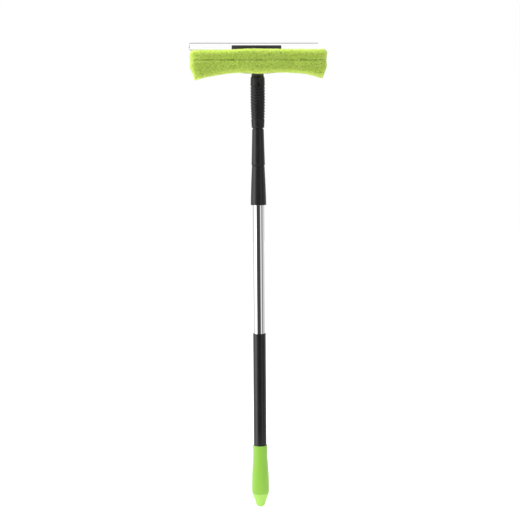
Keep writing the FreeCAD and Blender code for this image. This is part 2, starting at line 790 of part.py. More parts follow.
def make_microfibre_sleeve():
    """Pile sleeve over sponge and bar, open at the back for the bracket and below for the neck."""
    body = new_body("microfibre_sleeve")
    front = new_sketch(body, "XZ_Plane", "-sleeve_back")
    outline(front, [
        ("-sleeve_half_bottom", "sleeve_end_bottom_z", "0", "sleeve_mid_bottom_z"),
        ("sleeve_half_bottom", "sleeve_end_bottom_z"),
        ("sleeve_half_top", "sleeve_end_top_z", "0", "sleeve_mid_top_z"),
        ("-sleeve_half_top", "sleeve_end_top_z"),
    ])
    block = extrude(body, front, "sleeve_back - sleeve_front")
    rounding = body.newObject("PartDesign::Fillet", "sleeve_rounding")
    rounding.Base = (block, [f"Edge{number}" for number in range(1, len(block.Shape.Edges) + 1)])
    rounding.setExpression("Radius", bound("sleeve_round"))
    doc.recompute()
    half = "bar_length / 2 + 0.2"
    inside_back = "bar_thickness / 2 + 2 * tape_thickness + 0.1"
    cavity = new_sketch(body, "XZ_Plane", "-(" + inside_back + ")")
    outline(cavity, [
        ("-(" + half + ")", "sponge_bottom_z - 0.1"), (half, "sponge_bottom_z - 0.1"),
        (half, "sponge_top_z + 0.1"), ("-(" + half + ")", "sponge_top_z + 0.1"),
    ])
    extrude(body, cavity, inside_back + " - sponge_front + 0.1", "Pocket", reverse=True)
    slot = new_sketch(body, "XZ_Plane", "-(sleeve_back + 1)")
    outline(slot, [
        ("-sleeve_slot_width / 2", "sponge_bottom_z - 20"),
        ("sleeve_slot_width / 2", "sponge_bottom_z - 20"),
        ("sleeve_slot_width / 2", "bar_top_z + 0.5"),
        ("-sleeve_slot_width / 2", "bar_top_z + 0.5"),
    ])
    extrude(body, slot, "sleeve_back + 1 - bar_thickness / 2", "Pocket", reverse=True)
    hole = new_sketch(body, "XY_Plane", "sponge_bottom_z - 20")
    circle(hole, "0", "0", "neck_radius + 0.6")
    extrude(body, hole, "21", "Pocket", reverse=True)


make_end_cap()
make_hand_grip()
make_tubes()
make_lock_plug()
make_lock_expander()
make_lock_wedge()
make_lock_end_screw()
make_pole_connector()
make_connector_rivet()
make_handle_core()
make_ribbed_grip()
make_neck_screw()
make_head_frame()
make_squeegee_channel()
make_rubber_blade()
make_channel_clamp()
make_clamp_fasteners()
make_sponge_core()
make_closure_tapes()
make_microfibre_sleeve()

doc.recompute()
for thing in doc.Objects:
    if "Invalid" in thing.State or "Error" in thing.State:
        raise RuntimeError(f"{thing.Name} failed: {thing.State}")
for name, thing in nodes.items():
    if thing.Shape.isNull() or not thing.Shape.isValid():
        raise RuntimeError(f"{name} has no valid shape")

os.makedirs("parts", exist_ok=True)
for name, thing in nodes.items():
    thing.Shape.exportStep(f"parts/{name}.step")
    box = thing.Shape.optimalBoundingBox()
    print(f"{name:20s} solids {len(thing.Shape.Solids)}  volume {thing.Shape.Volume / 1000:8.2f} cm3"
          f"  x {box.XMin:7.1f} {box.XMax:7.1f}  y {box.YMin:6.1f} {box.YMax:6.1f}"
          f"  z {box.ZMin:6.1f} {box.ZMax:6.1f}")
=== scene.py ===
"""Looks of the telescopic window squeegee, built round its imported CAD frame. Metres, +Z up."""
import json
import math

import bmesh
import bpy
import numpy as np
from mathutils import Matrix, Vector, noise


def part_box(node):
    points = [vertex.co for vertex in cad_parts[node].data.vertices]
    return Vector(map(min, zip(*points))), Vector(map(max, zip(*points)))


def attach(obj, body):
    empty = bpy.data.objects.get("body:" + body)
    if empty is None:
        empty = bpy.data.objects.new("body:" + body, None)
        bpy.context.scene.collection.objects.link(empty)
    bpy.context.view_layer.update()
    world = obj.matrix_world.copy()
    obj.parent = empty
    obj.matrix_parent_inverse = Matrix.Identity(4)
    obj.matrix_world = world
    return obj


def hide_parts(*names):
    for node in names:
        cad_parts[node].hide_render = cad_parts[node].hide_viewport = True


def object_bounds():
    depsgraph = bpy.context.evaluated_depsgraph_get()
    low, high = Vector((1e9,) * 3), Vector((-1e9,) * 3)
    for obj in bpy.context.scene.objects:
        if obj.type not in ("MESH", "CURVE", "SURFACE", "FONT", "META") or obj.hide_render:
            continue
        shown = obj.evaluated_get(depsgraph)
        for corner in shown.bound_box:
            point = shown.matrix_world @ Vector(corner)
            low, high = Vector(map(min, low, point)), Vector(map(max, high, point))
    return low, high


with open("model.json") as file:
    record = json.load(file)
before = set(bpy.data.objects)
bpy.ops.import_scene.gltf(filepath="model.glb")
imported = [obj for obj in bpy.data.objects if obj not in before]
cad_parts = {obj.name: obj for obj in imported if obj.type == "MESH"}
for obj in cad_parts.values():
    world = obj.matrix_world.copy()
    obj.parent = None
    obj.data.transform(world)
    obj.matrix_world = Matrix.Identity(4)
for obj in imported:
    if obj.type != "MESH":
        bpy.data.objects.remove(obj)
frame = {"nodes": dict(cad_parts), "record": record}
cad_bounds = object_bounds()
NODES = frame["nodes"]
MM = 0.001


# ------------------------------------------------------------------ material kit

def fill_ramp(ramp, stops):
    """Give a colour ramp its stops, each a position and a colour or one grey level."""
    elements = ramp.color_ramp.elements
    while len(elements) < len(stops):
        elements.new(0.5)
    for element, (position, shade) in zip(elements, stops):
        colour = shade if isinstance(shade, tuple) else (shade, shade, shade)
        element.position = position
        element.color = (*colour, 1.0)


class Finish:
    """One node material: a Principled shader and short ways to feed its sockets."""

    def __init__(self, name, colour, roughness, metallic=0.0, **constants):
        self.material = bpy.data.materials.new(name)
        self.material.use_nodes = True
        self.tree = self.material.node_tree
        self.shader = self.tree.nodes["Principled BSDF"]
        self.set("Base Color", (*colour, 1.0))
        self.set("Roughness", roughness)
        self.set("Metallic", metallic)
        for socket, number in constants.items():
            self.set(socket.replace("_", " "), number)
        self.place = self.add("ShaderNodeTexCoord").outputs["Object"]

    def set(self, socket, number):
        self.shader.inputs[socket].default_value = number

    def add(self, kind, **settings):
        node = self.tree.nodes.new(kind)
        for key, setting in settings.items():
            setattr(node, key, setting)
        return node

    def link(self, out, into):
        self.tree.links.new(out, into)

    def stretched(self, factors):
        """Object coordinates scaled per axis, in features per metre."""
        mapping = self.add("ShaderNodeMapping")
        mapping.inputs["Scale"].default_value = factors
        self.link(self.place, mapping.inputs["Vector"])
        return mapping.outputs["Vector"]

    def noise(self, factors, detail=3.0, rough=0.55):
        texture = self.add("ShaderNodeTexNoise")
        texture.inputs["Scale"].default_value = 1.0
        texture.inputs["Detail"].default_value = detail
        texture.inputs["Roughness"].default_value = rough
        self.link(self.stretched(factors), texture.inputs["Vector"])
        return texture.outputs["Fac"]

    def cells(self, factors, feature="F1", smooth=None):
        texture = self.add("ShaderNodeTexVoronoi", feature=feature)
        texture.inputs["Scale"].default_value = 1.0
        if smooth is not None:
            texture.inputs["Smoothness"].default_value = smooth
        self.link(self.stretched(factors), texture.inputs["Vector"])
        return texture.outputs["Distance"]

    def ramp(self, fac, stops):
        ramp = self.add("ShaderNodeValToRGB")
        fill_ramp(ramp, stops)
        self.link(fac, ramp.inputs["Fac"])
        return ramp.outputs["Color"]

    def span(self, fac, low, high, start=0.0, end=1.0):
        """A factor that runs from start to end, remapped to run from low to high."""
        remap = self.add("ShaderNodeMapRange")
        remap.inputs["From Min"].default_value = start
        remap.inputs["From Max"].default_value = end
        remap.inputs["To Min"].default_value = low
        remap.inputs["To Max"].default_value = high
        self.link(fac, remap.inputs["Value"])
        return remap.outputs["Result"]

    def sum(self, first, second, share=1.0):
        """The first factor plus a share of the second."""
        total = self.add("ShaderNodeMath", operation="MULTIPLY_ADD")
        self.link(second, total.inputs[0])
        total.inputs[1].default_value = share
        self.link(first, total.inputs[2])
        return total.outputs["Value"]

    def colour(self, source):
        self.link(source, self.shader.inputs["Base Color"])

    def roughness(self, source):
        self.link(source, self.shader.inputs["Roughness"])

    def bump(self, height, strength, distance):
        bump = self.add("ShaderNodeBump")
        bump.inputs["Strength"].default_value = strength
        bump.inputs["Distance"].default_value = distance
        self.link(height, bump.inputs["Height"])
        self.link(bump.outputs["Normal"], self.shader.inputs["Normal"])


def moulded_plastic(name, dark, light, rough, grain=1400.0, **constants):
    """Injection-moulded plastic: fine spark-eroded grain, soft cloudiness and faint scuffs."""
    finish = Finish(name, light, rough, **constants)
    cloud = finish.noise((22, 22, 14), detail=4)
    finish.colour(finish.ramp(cloud, [(0.35, dark), (0.65, light)]))
    scuffs = finish.noise((320, 320, 40), detail=5, rough=0.7)
    finish.roughness(finish.span(scuffs, rough - 0.07, rough + 0.12, start=0.3, end=0.75))
    grit = finish.noise((grain, grain, grain), detail=2)
    finish.bump(finish.sum(grit, scuffs, 0.35), 0.35, 0.04 * MM)
    return finish.material


def polished_metal(name, tone, rough, lines, ripple):
    """Drawn and polished steel: hair lines along its length and a slight waviness."""
    finish = Finish(name, tone, rough, metallic=1.0)
    hair = finish.noise(lines, detail=4, rough=0.65)
    darker = tuple(0.93 * channel for channel in tone)
    finish.colour(finish.ramp(hair, [(0.3, darker), (0.7, tone)]))
    finish.roughness(finish.span(hair, rough * 0.6, rough * 1.7, start=0.3, end=0.7))
    waves = finish.noise((60, 60, 12), detail=1)
    finish.bump(finish.sum(hair, waves, 2.5), ripple, 0.02 * MM)
    return finish.material


def painted_steel(name, dark, light):
    """Satin black paint: a little dust in it and a fine orange peel."""
    finish = Finish(name, (0.004, 0.004, 0.0044), 0.3, Specular_IOR_Level=0.5)
    peel = finish.noise((420, 420, 420), detail=2)
    dust = finish.noise((40, 40, 18), detail=5, rough=0.65)
    finish.colour(finish.ramp(dust, [(0.35, dark), (0.75, light)]))
    finish.roughness(finish.span(dust, 0.26, 0.36, start=0.3, end=0.75))
    finish.bump(peel, 0.25, 0.05 * MM)
    return finish.material


def soft_rubber(name, dark, light, rough):
    """Matt rubber with a cloudy bloom and a fine grit."""
    finish = Finish(name, light, rough, Specular_IOR_Level=0.4)
    bloom = finish.noise((60, 60, 60), detail=5, rough=0.6)
    finish.colour(finish.ramp(bloom, [(0.3, dark), (0.75, light)]))
    finish.roughness(finish.span(bloom, rough - 0.06, rough + 0.1, start=0.3, end=0.7))
    grit = finish.noise((1900, 1900, 1900), detail=3)
    finish.bump(grit, 0.4, 0.06 * MM)
    return finish.material


def microfibre(name, shades, **constants):
    """Pile fabric: colour broken up by tufts, each darker towards its middle, and by larger patches."""
    light, middle, dark = shades
    finish = Finish(name, middle, 0.95, Sheen_Weight=0.4, Sheen_Roughness=0.4,
                    Sheen_Tint=(0.85, 1.0, 0.55, 1.0), **constants)
    tufts = finish.cells((260, 260, 260), "SMOOTH_F1", 0.6)
    patches = finish.noise((90, 90, 90), detail=4, rough=0.6)
    mixed = finish.sum(finish.span(tufts, 0.0, 0.7, start=0.15, end=0.75), patches, 0.55)
    finish.colour(finish.ramp(mixed, [(0.25, dark), (0.5, middle), (0.85, light)]))
    fuzz = finish.noise((1500, 1500, 1500), detail=2, rough=0.6)
    finish.bump(finish.sum(fuzz, tufts, -1.2), 0.7, 0.6 * MM)
    return finish.material


def foam(name, dark, light):
    """Open-cell foam, darker inside its pores as painted shade."""
    finish = Finish(name, light, 0.9, Subsurface_Weight=0.15, Subsurface_Radius=(0.004, 0.004, 0.002))
    pores = finish.cells((900, 900, 900))
    # painted shade: the colour is darkest at each pore's middle, where the bump sinks
    finish.colour(finish.ramp(pores, [(0.1, dark), (0.5, light)]))
    finish.bump(pores, 0.8, 0.6 * MM)
    return finish.material


def tape_fabric(name, dark, light):
    """Hook-and-loop tape."""
    finish = Finish(name, (0.03, 0.03, 0.03), 0.9, Sheen_Weight=0.3, Sheen_Roughness=0.5)
    weave = finish.cells((1100, 1100, 1100))
    finish.colour(finish.ramp(weave, [(0.1, dark), (0.6, light)]))
    finish.bump(weave, 0.9, 0.4 * MM)
    return finish.material


def woven_tape(name, dark, light):
    """Bias tape with a fine rib."""
    finish = Finish(name, (0.30, 0.44, 0.05), 0.8, Sheen_Weight=0.25, Sheen_Roughness=0.4)
    ribs = finish.noise((1600, 1600, 1600), detail=2)
    finish.colour(finish.ramp(ribs, [(0.35, dark), (0.7, light)]))
    finish.bump(ribs, 0.6, 0.3 * MM)
    return finish.material


def glowing_floor(name):
    """White floor that glows enough to hide its own shadows."""
    finish = Finish(name, (0.80, 0.80, 0.80), 0.9, Emission_Color=(1, 1, 1, 1), Emission_Strength=0.6)
    finish.roughness(finish.span(finish.noise((3, 3, 3)), 0.86, 0.94))
    return finish.material


PILE_SHADES = ((0.79, 0.98, 0.21), (0.70, 0.95, 0.125), (0.55, 0.82, 0.075))
# the ground's colours are kept dark as painted shade: shade between the pile's strands, and the crease's
# dark line where the seam is left bare
PAINTED_SHADE_GROUND_COLOURS = ((0.20, 0.30, 0.03), (0.15, 0.23, 0.02), (0.09, 0.15, 0.01))
SLOT_FINISH = {
    "black_plastic": moulded_plastic(
        "black_plastic", (0.004, 0.004, 0.0042), (0.007, 0.007, 0.0073), 0.34, Specular_IOR_Level=0.45),
    "black_grip_rubber": soft_rubber("grip_rubber", (0.003, 0.003, 0.003), (0.006, 0.006, 0.006), 0.42),
    "blade_rubber": soft_rubber("blade_rubber", (0.007, 0.007, 0.007), (0.012, 0.012, 0.012), 0.5),
    "green_plastic": moulded_plastic(
        "green_plastic", (0.19, 0.405, 0.024), (0.21, 0.43, 0.03), 0.5, grain=900.0,
        Subsurface_Weight=0.1, Subsurface_Radius=(0.002, 0.004, 0.001),
        Specular_IOR_Level=0.3, Sheen_Weight=0.5, Sheen_Roughness=0.5),
    "green_cap_plastic": moulded_plastic(
        "green_cap_plastic", (0.29, 0.53, 0.085), (0.33, 0.57, 0.10), 0.44, grain=900.0,
        Subsurface_Weight=0.15, Subsurface_Radius=(0.002, 0.004, 0.001), Specular_IOR_Level=0.3),
    "microfibre": microfibre("microfibre", PILE_SHADES, Subsurface_Weight=0.35,
                             Subsurface_Radius=(0.003, 0.004, 0.0015)),
    # the sponge's darker colour is the painted shade inside its pores
    "sponge": foam("sponge_foam", (0.42, 0.38, 0.22), (0.78, 0.74, 0.52)),
    "closure_tape": tape_fabric("closure_tape", (0.012, 0.012, 0.012), (0.06, 0.06, 0.06)),
    "polished_steel": polished_metal("polished_steel", (0.93, 0.93, 0.935), 0.05, (900, 900, 14), 0.06),
    "black_painted_steel": painted_steel(
        "painted_steel", (0.003, 0.003, 0.0034), (0.0055, 0.0055, 0.006)),
    "black_steel": polished_metal("black_steel", (0.03, 0.03, 0.03), 0.35, (600, 600, 600), 0.25),
    "plain_steel": polished_metal("plain_steel", (0.55, 0.56, 0.57), 0.28, (600, 600, 600), 0.25),
    "lock_plastic": moulded_plastic("lock_plastic", (0.55, 0.55, 0.52), (0.68, 0.68, 0.65), 0.4),
}
HEAD_PLASTIC = moulded_plastic("head_plastic", (0.014, 0.014, 0.0145), (0.020, 0.020, 0.021), 0.5)
CHANNEL_STEEL = polished_metal("channel_steel", (0.92, 0.92, 0.92), 0.09, (10, 900, 900), 0.08)
NODE_FINISH = {
    "squeegee_channel": CHANNEL_STEEL,
    "head_frame": HEAD_PLASTIC,
    "channel_clamp": HEAD_PLASTIC,
}
# the skin's ground finish: the knitted backing, darkened as painted shade between the strands and along
# the seam
PAINTED_SHADE_GROUND = microfibre("ground_with_painted_shade", PAINTED_SHADE_GROUND_COLOURS)
WOVEN_BINDING = woven_tape("woven_binding", (0.22, 0.34, 0.03), (0.36, 0.50, 0.07))


def dress_cad():
    """Give every CAD node its own finish, or that of its slot in the record."""
    for part in frame["record"]["subparts"]:
        thing = NODES[part["node"]]
        finish = NODE_FINISH.get(part["node"], SLOT_FINISH[part["material_slot"]])
        if not thing.material_slots:
            thing.data.materials.append(finish)
        for slot in thing.material_slots:
            slot.material = finish


# ------------------------------------------------------------------ mesh kit

def place_mesh(name, mesh, finish, smooth=True):
    """Put a mesh into the scene as a piece with one finish."""
    piece = bpy.data.objects.new(name, mesh)
    bpy.context.scene.collection.objects.link(piece)
    mesh.materials.clear()
    mesh.materials.append(finish)
    if smooth:
        mesh.shade_smooth()
    return piece


def new_piece(name, vertices, faces, finish, smooth=True):
    mesh = bpy.data.meshes.new(name)
    mesh.from_pydata(vertices, [], faces)
    mesh.update()
    return place_mesh(name, mesh, finish, smooth)


def apply_modifiers(piece):
    """Bake a piece's modifiers into its own mesh."""
    graph = bpy.context.evaluated_depsgraph_get()
    baked = bpy.data.meshes.new_from_object(piece.evaluated_get(graph))
    piece.modifiers.clear()
    piece.data = baked


def push_out(shape, height):
    """Move every vertex along its normal, by a height that depends on its place."""
    shape.normal_update()
    moves = [(vertex, vertex.normal * height(vertex.co)) for vertex in shape.verts]
    for vertex, move in moves:
        vertex.co += move


def rows_of(collection, field, kind=np.float64):
    """A three-number field of every mesh element, one row each."""
    numbers = np.zeros(len(collection) * 3, kind)
    collection.foreach_get(field, numbers)
    return numbers.reshape(-1, 3)


def unit_rows(rows):
    return rows / np.linalg.norm(rows, axis=1)[:, None]


def bell(distance, width):
    return math.exp(-(distance / width) ** 2)


def rounded(value, power):
    """A sine or cosine pushed towards a square corner."""
    return math.copysign(abs(value) ** power, value)


# ------------------------------------------------------------------ scrubber sleeve

SLEEVE_LOW, SLEEVE_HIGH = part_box("microfibre_sleeve")
# pulled on a little to the right
SLEEVE_SHIFT = 0.7 * MM
SLEEVE_HALF = (SLEEVE_HIGH.x - SLEEVE_LOW.x) / 2 - SLEEVE_SHIFT
SLEEVE_MIDDLE_Y = (SLEEVE_LOW.y + SLEEVE_HIGH.y) / 2
SLEEVE_DEEP = (SLEEVE_HIGH.y - SLEEVE_LOW.y) / 2
FABRIC_THICKNESS = 2.2 * MM
BAR_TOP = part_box("sponge_core")[1].z - 1 * MM
SEAM_Z = BAR_TOP - 14.6 * MM
# how far the sleeve's edges lie above the bar's top and below it, in mm, along X in mm
TOP_LINE = ((-131, 3.0), (-84, 2.7), (-55, 4.0), (-25, 5.2), (0, 5.3), (63, 4.9), (102, 4.7), (131, 4.3))
BOTTOM_LINE = (
    (-131, 52.4), (-113, 47.6), (-84, 42.0), (-55, 37.7), (-27, 35.9), (0, 38.6),
    (26, 35.6), (63, 36.4), (102, 41.0), (120, 45.4), (131, 48.6),
)

# mesh rows along the sleeve, which crowd together towards its ends, and points round each row
ALONG = 200
AROUND = 240
CROWDING = 0.14
# the ends' rounding, and the depth and heights left there as shares of those in the middle
END_REACH = 12 * MM
END_POWER = 2.3
END_DEPTH = 0.10
UPPER_END_HEIGHT = 0.84
LOWER_END_HEIGHT = 0.97
# the section's rounding: 1 is an ellipse and 0 a box
SECTION_POWER_UP = 0.42
SECTION_POWER_ABOVE = 0.6
SECTION_POWER_BELOW = 0.5
# the ends lean inwards below the seam
LEAN = 7.0 * MM
LEAN_START = SEAM_Z - 12 * MM
LEAN_REACH = 20 * MM

# the opening for the bracket at the back and for the neck below
SLOT_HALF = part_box("channel_clamp")[1].x + 4 * MM
SLOT_FRONT = 5 * MM
NECK_RADIUS = -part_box("pole_connector")[0].y - 2.1 * MM
NECK_TOP = BAR_TOP - 22 * MM


def smooth_line(stations, x):
    """A smooth curve through listed stations, in metres."""
    spot = x / MM
    last = len(stations) - 1
    number = 0
    while number < last - 1 and spot > stations[number + 1][0]:
        number += 1
    before, start, end, after = (
        stations[min(max(number + step, 0), last)] for step in (-1, 0, 1, 2)
    )
    width = end[0] - start[0]
    share = (spot - start[0]) / width
    leaving = (end[1] - before[1]) / (end[0] - before[0]) * width
    arriving = (after[1] - start[1]) / (after[0] - start[0]) * width
    square = share * share
    cube = square * share
    level = (2 * cube - 3 * square + 1) * start[1] + (cube - 2 * square + share) * leaving
    level += (3 * square - 2 * cube) * end[1] + (cube - square) * arriving
    return level * MM


def sleeve_top(x):
    return BAR_TOP + smooth_line(TOP_LINE, x)


def sleeve_bottom(x):
    return BAR_TOP - smooth_line(BOTTOM_LINE, x)


def sleeve_spot(along, around):
    """Where the sleeve's skin lies: along its length and around its section, each from 0 to 1."""
    x = (along * 2 - 1) * SLEEVE_HALF
    near_end = max(0.0, 1 - (SLEEVE_HALF - abs(x)) / END_REACH)
    shrink = (1 - near_end ** END_POWER) ** (1 / END_POWER) if near_end < 1 else 0.0
    top = sleeve_top(x)
    bottom = sleeve_bottom(x)
    angle = around * 2 * math.pi
    up = rounded(math.sin(angle), SECTION_POWER_UP)
    # the upper half is rounder than the lower one
    across = rounded(math.cos(angle), SECTION_POWER_ABOVE if up > 0 else SECTION_POWER_BELOW)
    y = SLEEVE_MIDDLE_Y + across * SLEEVE_DEEP * (END_DEPTH + (1 - END_DEPTH) * shrink)
    # the lower corners stay pointed where the upper ones are round
    end_height = UPPER_END_HEIGHT if up > 0 else LOWER_END_HEIGHT
    corner = end_height + (1 - end_height) * shrink
    z = (top + bottom) / 2 + up * (top - bottom) / 2 * corner
    low = min(max(0.0, (LEAN_START - z) / LEAN_REACH), 1.0)
    lean = LEAN * low * abs(x / SLEEVE_HALF) ** 10
    return Vector((x - math.copysign(lean, x) + SLEEVE_SHIFT, y, z))


def seam_height(x):
    """The sewn crease along the front, which wanders a little."""
    return SEAM_Z + 0.4 * MM * noise.noise((x * 18, 3.0, 1.0))


def sleeve_swell(spot):
    """How far the stuffed skin stands out or pulls in, in metres, before the pile is added."""
    swell = 0.0
    if spot.y < SLEEVE_MIDDLE_Y:
        above_seam = spot.z - seam_height(spot.x)
        reach = 1 - bell(SLEEVE_HALF - abs(spot.x), 8 * MM)
        swell -= 2.3 * MM * bell(above_seam, 1.5 * MM) * reach
        swell += 1.5 * MM * bell(above_seam - 11 * MM, 8 * MM)
        swell += 1.7 * MM * bell(above_seam + 13 * MM, 10 * MM)
    # a small fold by the lower left corner, and a slanting tuck beside it
    from_fold = spot.x + 119 * MM
    from_tuck = spot.x + 107 * MM
    above_tuck = spot.z - (BAR_TOP - 40 * MM)
    swell -= 1.6 * MM * bell(from_fold, 2.2 * MM) * bell(above_tuck - 2 * MM, 11 * MM)
    swell -= 1.8 * MM * bell(from_tuck + 0.5 * above_tuck, 2.4 * MM) * bell(above_tuck - 1 * MM, 5 * MM)
    # the corner at the upper right stands up a little
    swell += 1.3 * MM * bell(spot.x - 124 * MM, 6 * MM) * bell(spot.z - SLEEVE_HIGH.z, 6 * MM)
    swell += 0.8 * MM * noise.noise(spot * 30)
    swell += 0.45 * MM * noise.noise(spot * 95)
    return swell


def pile_height(spot):
    """Clumps of pile standing out of the skin."""
    clumps = noise.noise(spot * 230)
    tufts = noise.noise(spot * 520 + Vector((7, 1, 3)))
    return 0.55 * MM * clumps + 0.40 * MM * tufts


def in_opening(spot):
    """True where the sleeve is cut away for the bracket at the back and the neck below."""
    behind = spot.y > SLOT_FRONT and abs(spot.x) < SLOT_HALF and spot.z < BAR_TOP
    neck = spot.z < NECK_TOP and math.hypot(spot.x, spot.y) < NECK_RADIUS + 0.4 * MM
    return behind or neck


def sleeve_skin():
    """The sleeve's outer surface as vertices and faces, still closed."""
    spots = []
    for step in range(ALONG + 1):
        even = step / ALONG * 2 - 1
        along = 0.5 + 0.5 * ((1 - CROWDING) * even + CROWDING * even ** 7)
        for turn in range(AROUND):
            spots.append(sleeve_spot(along, turn / AROUND))
    faces = []
    for step in range(ALONG):
        for turn in range(AROUND):
            after = (turn + 1) % AROUND
            ring = step * AROUND
            faces.append((ring + turn, ring + AROUND + turn, ring + AROUND + after, ring + after))
    for ring, flip in ((0, False), (ALONG * AROUND, True)):
        for turn in range(-AROUND // 4, AROUND // 4):
            left = [ring + turn % AROUND, ring + (turn + 1) % AROUND]
            right = [ring + (AROUND // 2 - turn - 1) % AROUND, ring + (AROUND // 2 - turn) % AROUND]
            corners = list(dict.fromkeys(left + right))
            faces.append(tuple(reversed(corners)) if flip else tuple(corners))
    return spots, faces


def make_sleeve():
    """The padded cover as one closed piece. Returns its outer skin alone, for the pile."""
    spots, faces = sleeve_skin()
    # the skin wears the dark ground finish, which is painted shade for the gaps between strands and for
    # the crease
    sleeve = new_piece("sleeve_fabric", spots, faces, PAINTED_SHADE_GROUND)
    shape = bmesh.new()
    shape.from_mesh(sleeve.data)
    bmesh.ops.recalc_face_normals(shape, faces=shape.faces)
    push_out(shape, sleeve_swell)
    push_out(shape, pile_height)
    cut = [face for face in shape.faces if in_opening(face.calc_center_median())]
    bmesh.ops.delete(shape, geom=cut, context="FACES")
    shape.to_mesh(sleeve.data)
    shape.free()
    backing = sleeve.modifiers.new("backing", "SOLIDIFY")
    backing.thickness = FABRIC_THICKNESS
    backing.offset = -1.0
    skin = sleeve.data.copy()
    apply_modifiers(sleeve)
    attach(sleeve, "head")
    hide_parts("microfibre_sleeve")
    return skin


# ------------------------------------------------------------------ pile

STRANDS_EACH = 48000
STRAND_LENGTHS = (1.1, 2.3)
STRAND_RADII = (0.22, 0.36)
STRAND_SPREAD = 0.45
STRAND_DROOP = (0.0, 0.0, -0.18)
ROOT_DEPTH = 0.3 * MM
# the strip left bare along the seam shows the ground's painted shade as the crease's dark line
BARE_HALF = 1.3 * MM


def strands(places, normals, triangles, seed):
    """Vertices and faces of spikes scattered evenly by area over some triangles."""
    chance = np.random.default_rng(seed)
    count = STRANDS_EACH
    first, second, third = (places[triangles[:, corner]] for corner in range(3))
    area = np.linalg.norm(np.cross(second - first, third - first), axis=1)
    picked = chance.choice(len(triangles), size=count, p=area / area.sum())
    share = chance.dirichlet((1, 1, 1), size=count)
    root = sum(share[:, corner, None] * places[triangles[picked, corner]] for corner in range(3))
    normal = unit_rows(
        sum(share[:, corner, None] * normals[triangles[picked, corner]] for corner in range(3)))
    growth = unit_rows(normal + (chance.normal(0, STRAND_SPREAD, (count, 3)) + np.array(STRAND_DROOP)))
    length = chance.uniform(*STRAND_LENGTHS, count)[:, None] * MM
    side = unit_rows(np.cross(growth, chance.normal(0, 1, (count, 3))))
    other = np.cross(growth, side)
    radius = chance.uniform(*STRAND_RADII, count)[:, None] * MM
    base = root - normal * ROOT_DEPTH
    ring = [
        base + radius * (math.cos(turn) * side + math.sin(turn) * other)
        for turn in (0, 2 * math.pi / 3, 4 * math.pi / 3)
    ]
    vertices = np.stack([*ring, root + growth * length], axis=1).reshape(-1, 3)
    start = np.arange(count)[:, None] * 4
    faces = np.concatenate([
        start + np.array(corners) for corners in ((0, 2, 1), (0, 1, 3), (1, 2, 3), (2, 0, 3))
    ])
    return vertices.tolist(), faces.tolist()


def make_pile(skin):
    """Short microfibre strands, each a slim closed spike rooted in the skin, bare along the seam."""
    skin.calc_loop_triangles()
    corners = rows_of(skin.loop_triangles, "vertices", np.int32)
    places = rows_of(skin.vertices, "co")
    normals = rows_of(skin.vertices, "normal")
    middle = places[corners].mean(axis=1)
    front = middle[:, 1] < SLEEVE_MIDDLE_Y - 0.35 * SLEEVE_DEEP
    above_seam = middle[:, 2] - np.array([seam_height(x) for x in middle[:, 0]])
    inside = np.abs(middle[:, 0]) < SLEEVE_HALF - 6 * MM
    bare = inside & (np.abs(above_seam) < BARE_HALF)
    for name, chosen, seed in (
        ("pile_upper_front", front & (above_seam > 0) & ~bare, 11),
        ("pile_lower_front", front & (above_seam <= 0) & ~bare, 12),
        ("pile_back", ~front, 13),
    ):
        vertices, faces = strands(places, normals, corners[chosen], seed)
        pile = new_piece(name, vertices, faces, SLOT_FINISH["microfibre"])
        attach(pile, "head")


# ------------------------------------------------------------------ binding and sponge

BINDING_RADIUS = 1.5 * MM


def binding_route():
    """The edge of the sleeve's opening, as a closed run of points from back left to back right."""
    route = []
    behind = SLEEVE_HIGH.y + 0.2 * MM
    for side, order in ((-1, 1), (1, -1)):
        edge = [
            Vector((side * SLOT_HALF, behind, SEAM_Z + 8 * MM)),
            Vector((side * SLOT_HALF, behind, sleeve_bottom(SLOT_HALF) + 9 * MM)),
            Vector((side * SLOT_HALF, SLOT_FRONT, sleeve_bottom(SLOT_HALF) + 1 * MM)),
            Vector((side * (NECK_RADIUS + 6 * MM), SLOT_FRONT, sleeve_bottom(0) + 0.8 * MM)),
        ]
        arc = [
            Vector((side * NECK_RADIUS * math.cos(turn), -NECK_RADIUS * math.sin(turn),
                    sleeve_bottom(0) + 0.6 * MM))
            for turn in (0.0, 0.5, 1.0)
        ]
        half = edge + arc
        route += half[::order]
    return route


def make_binding():
    """The sewn edge of the sleeve's opening: a bias tape that follows the cut."""
    route = binding_route()
    curve = bpy.data.curves.new("sleeve_binding", "CURVE")
    curve.dimensions = "3D"
    curve.bevel_depth = BINDING_RADIUS
    curve.bevel_resolution = 3
    spline = curve.splines.new("NURBS")
    spline.points.add(len(route) - 1)
    for point, spot in zip(spline.points, route):
        point.co = (*spot, 1.0)
    spline.use_cyclic_u = True
    spline.order_u = 3
    spline.resolution_u = 6
    line = bpy.data.objects.new("sleeve_binding", curve)
    bpy.context.scene.collection.objects.link(line)
    graph = bpy.context.evaluated_depsgraph_get()
    mesh = bpy.data.meshes.new_from_object(line.evaluated_get(graph))
    bpy.data.objects.remove(line)
    binding = place_mesh("sleeve_binding", mesh, WOVEN_BINDING)
    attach(binding, "head")


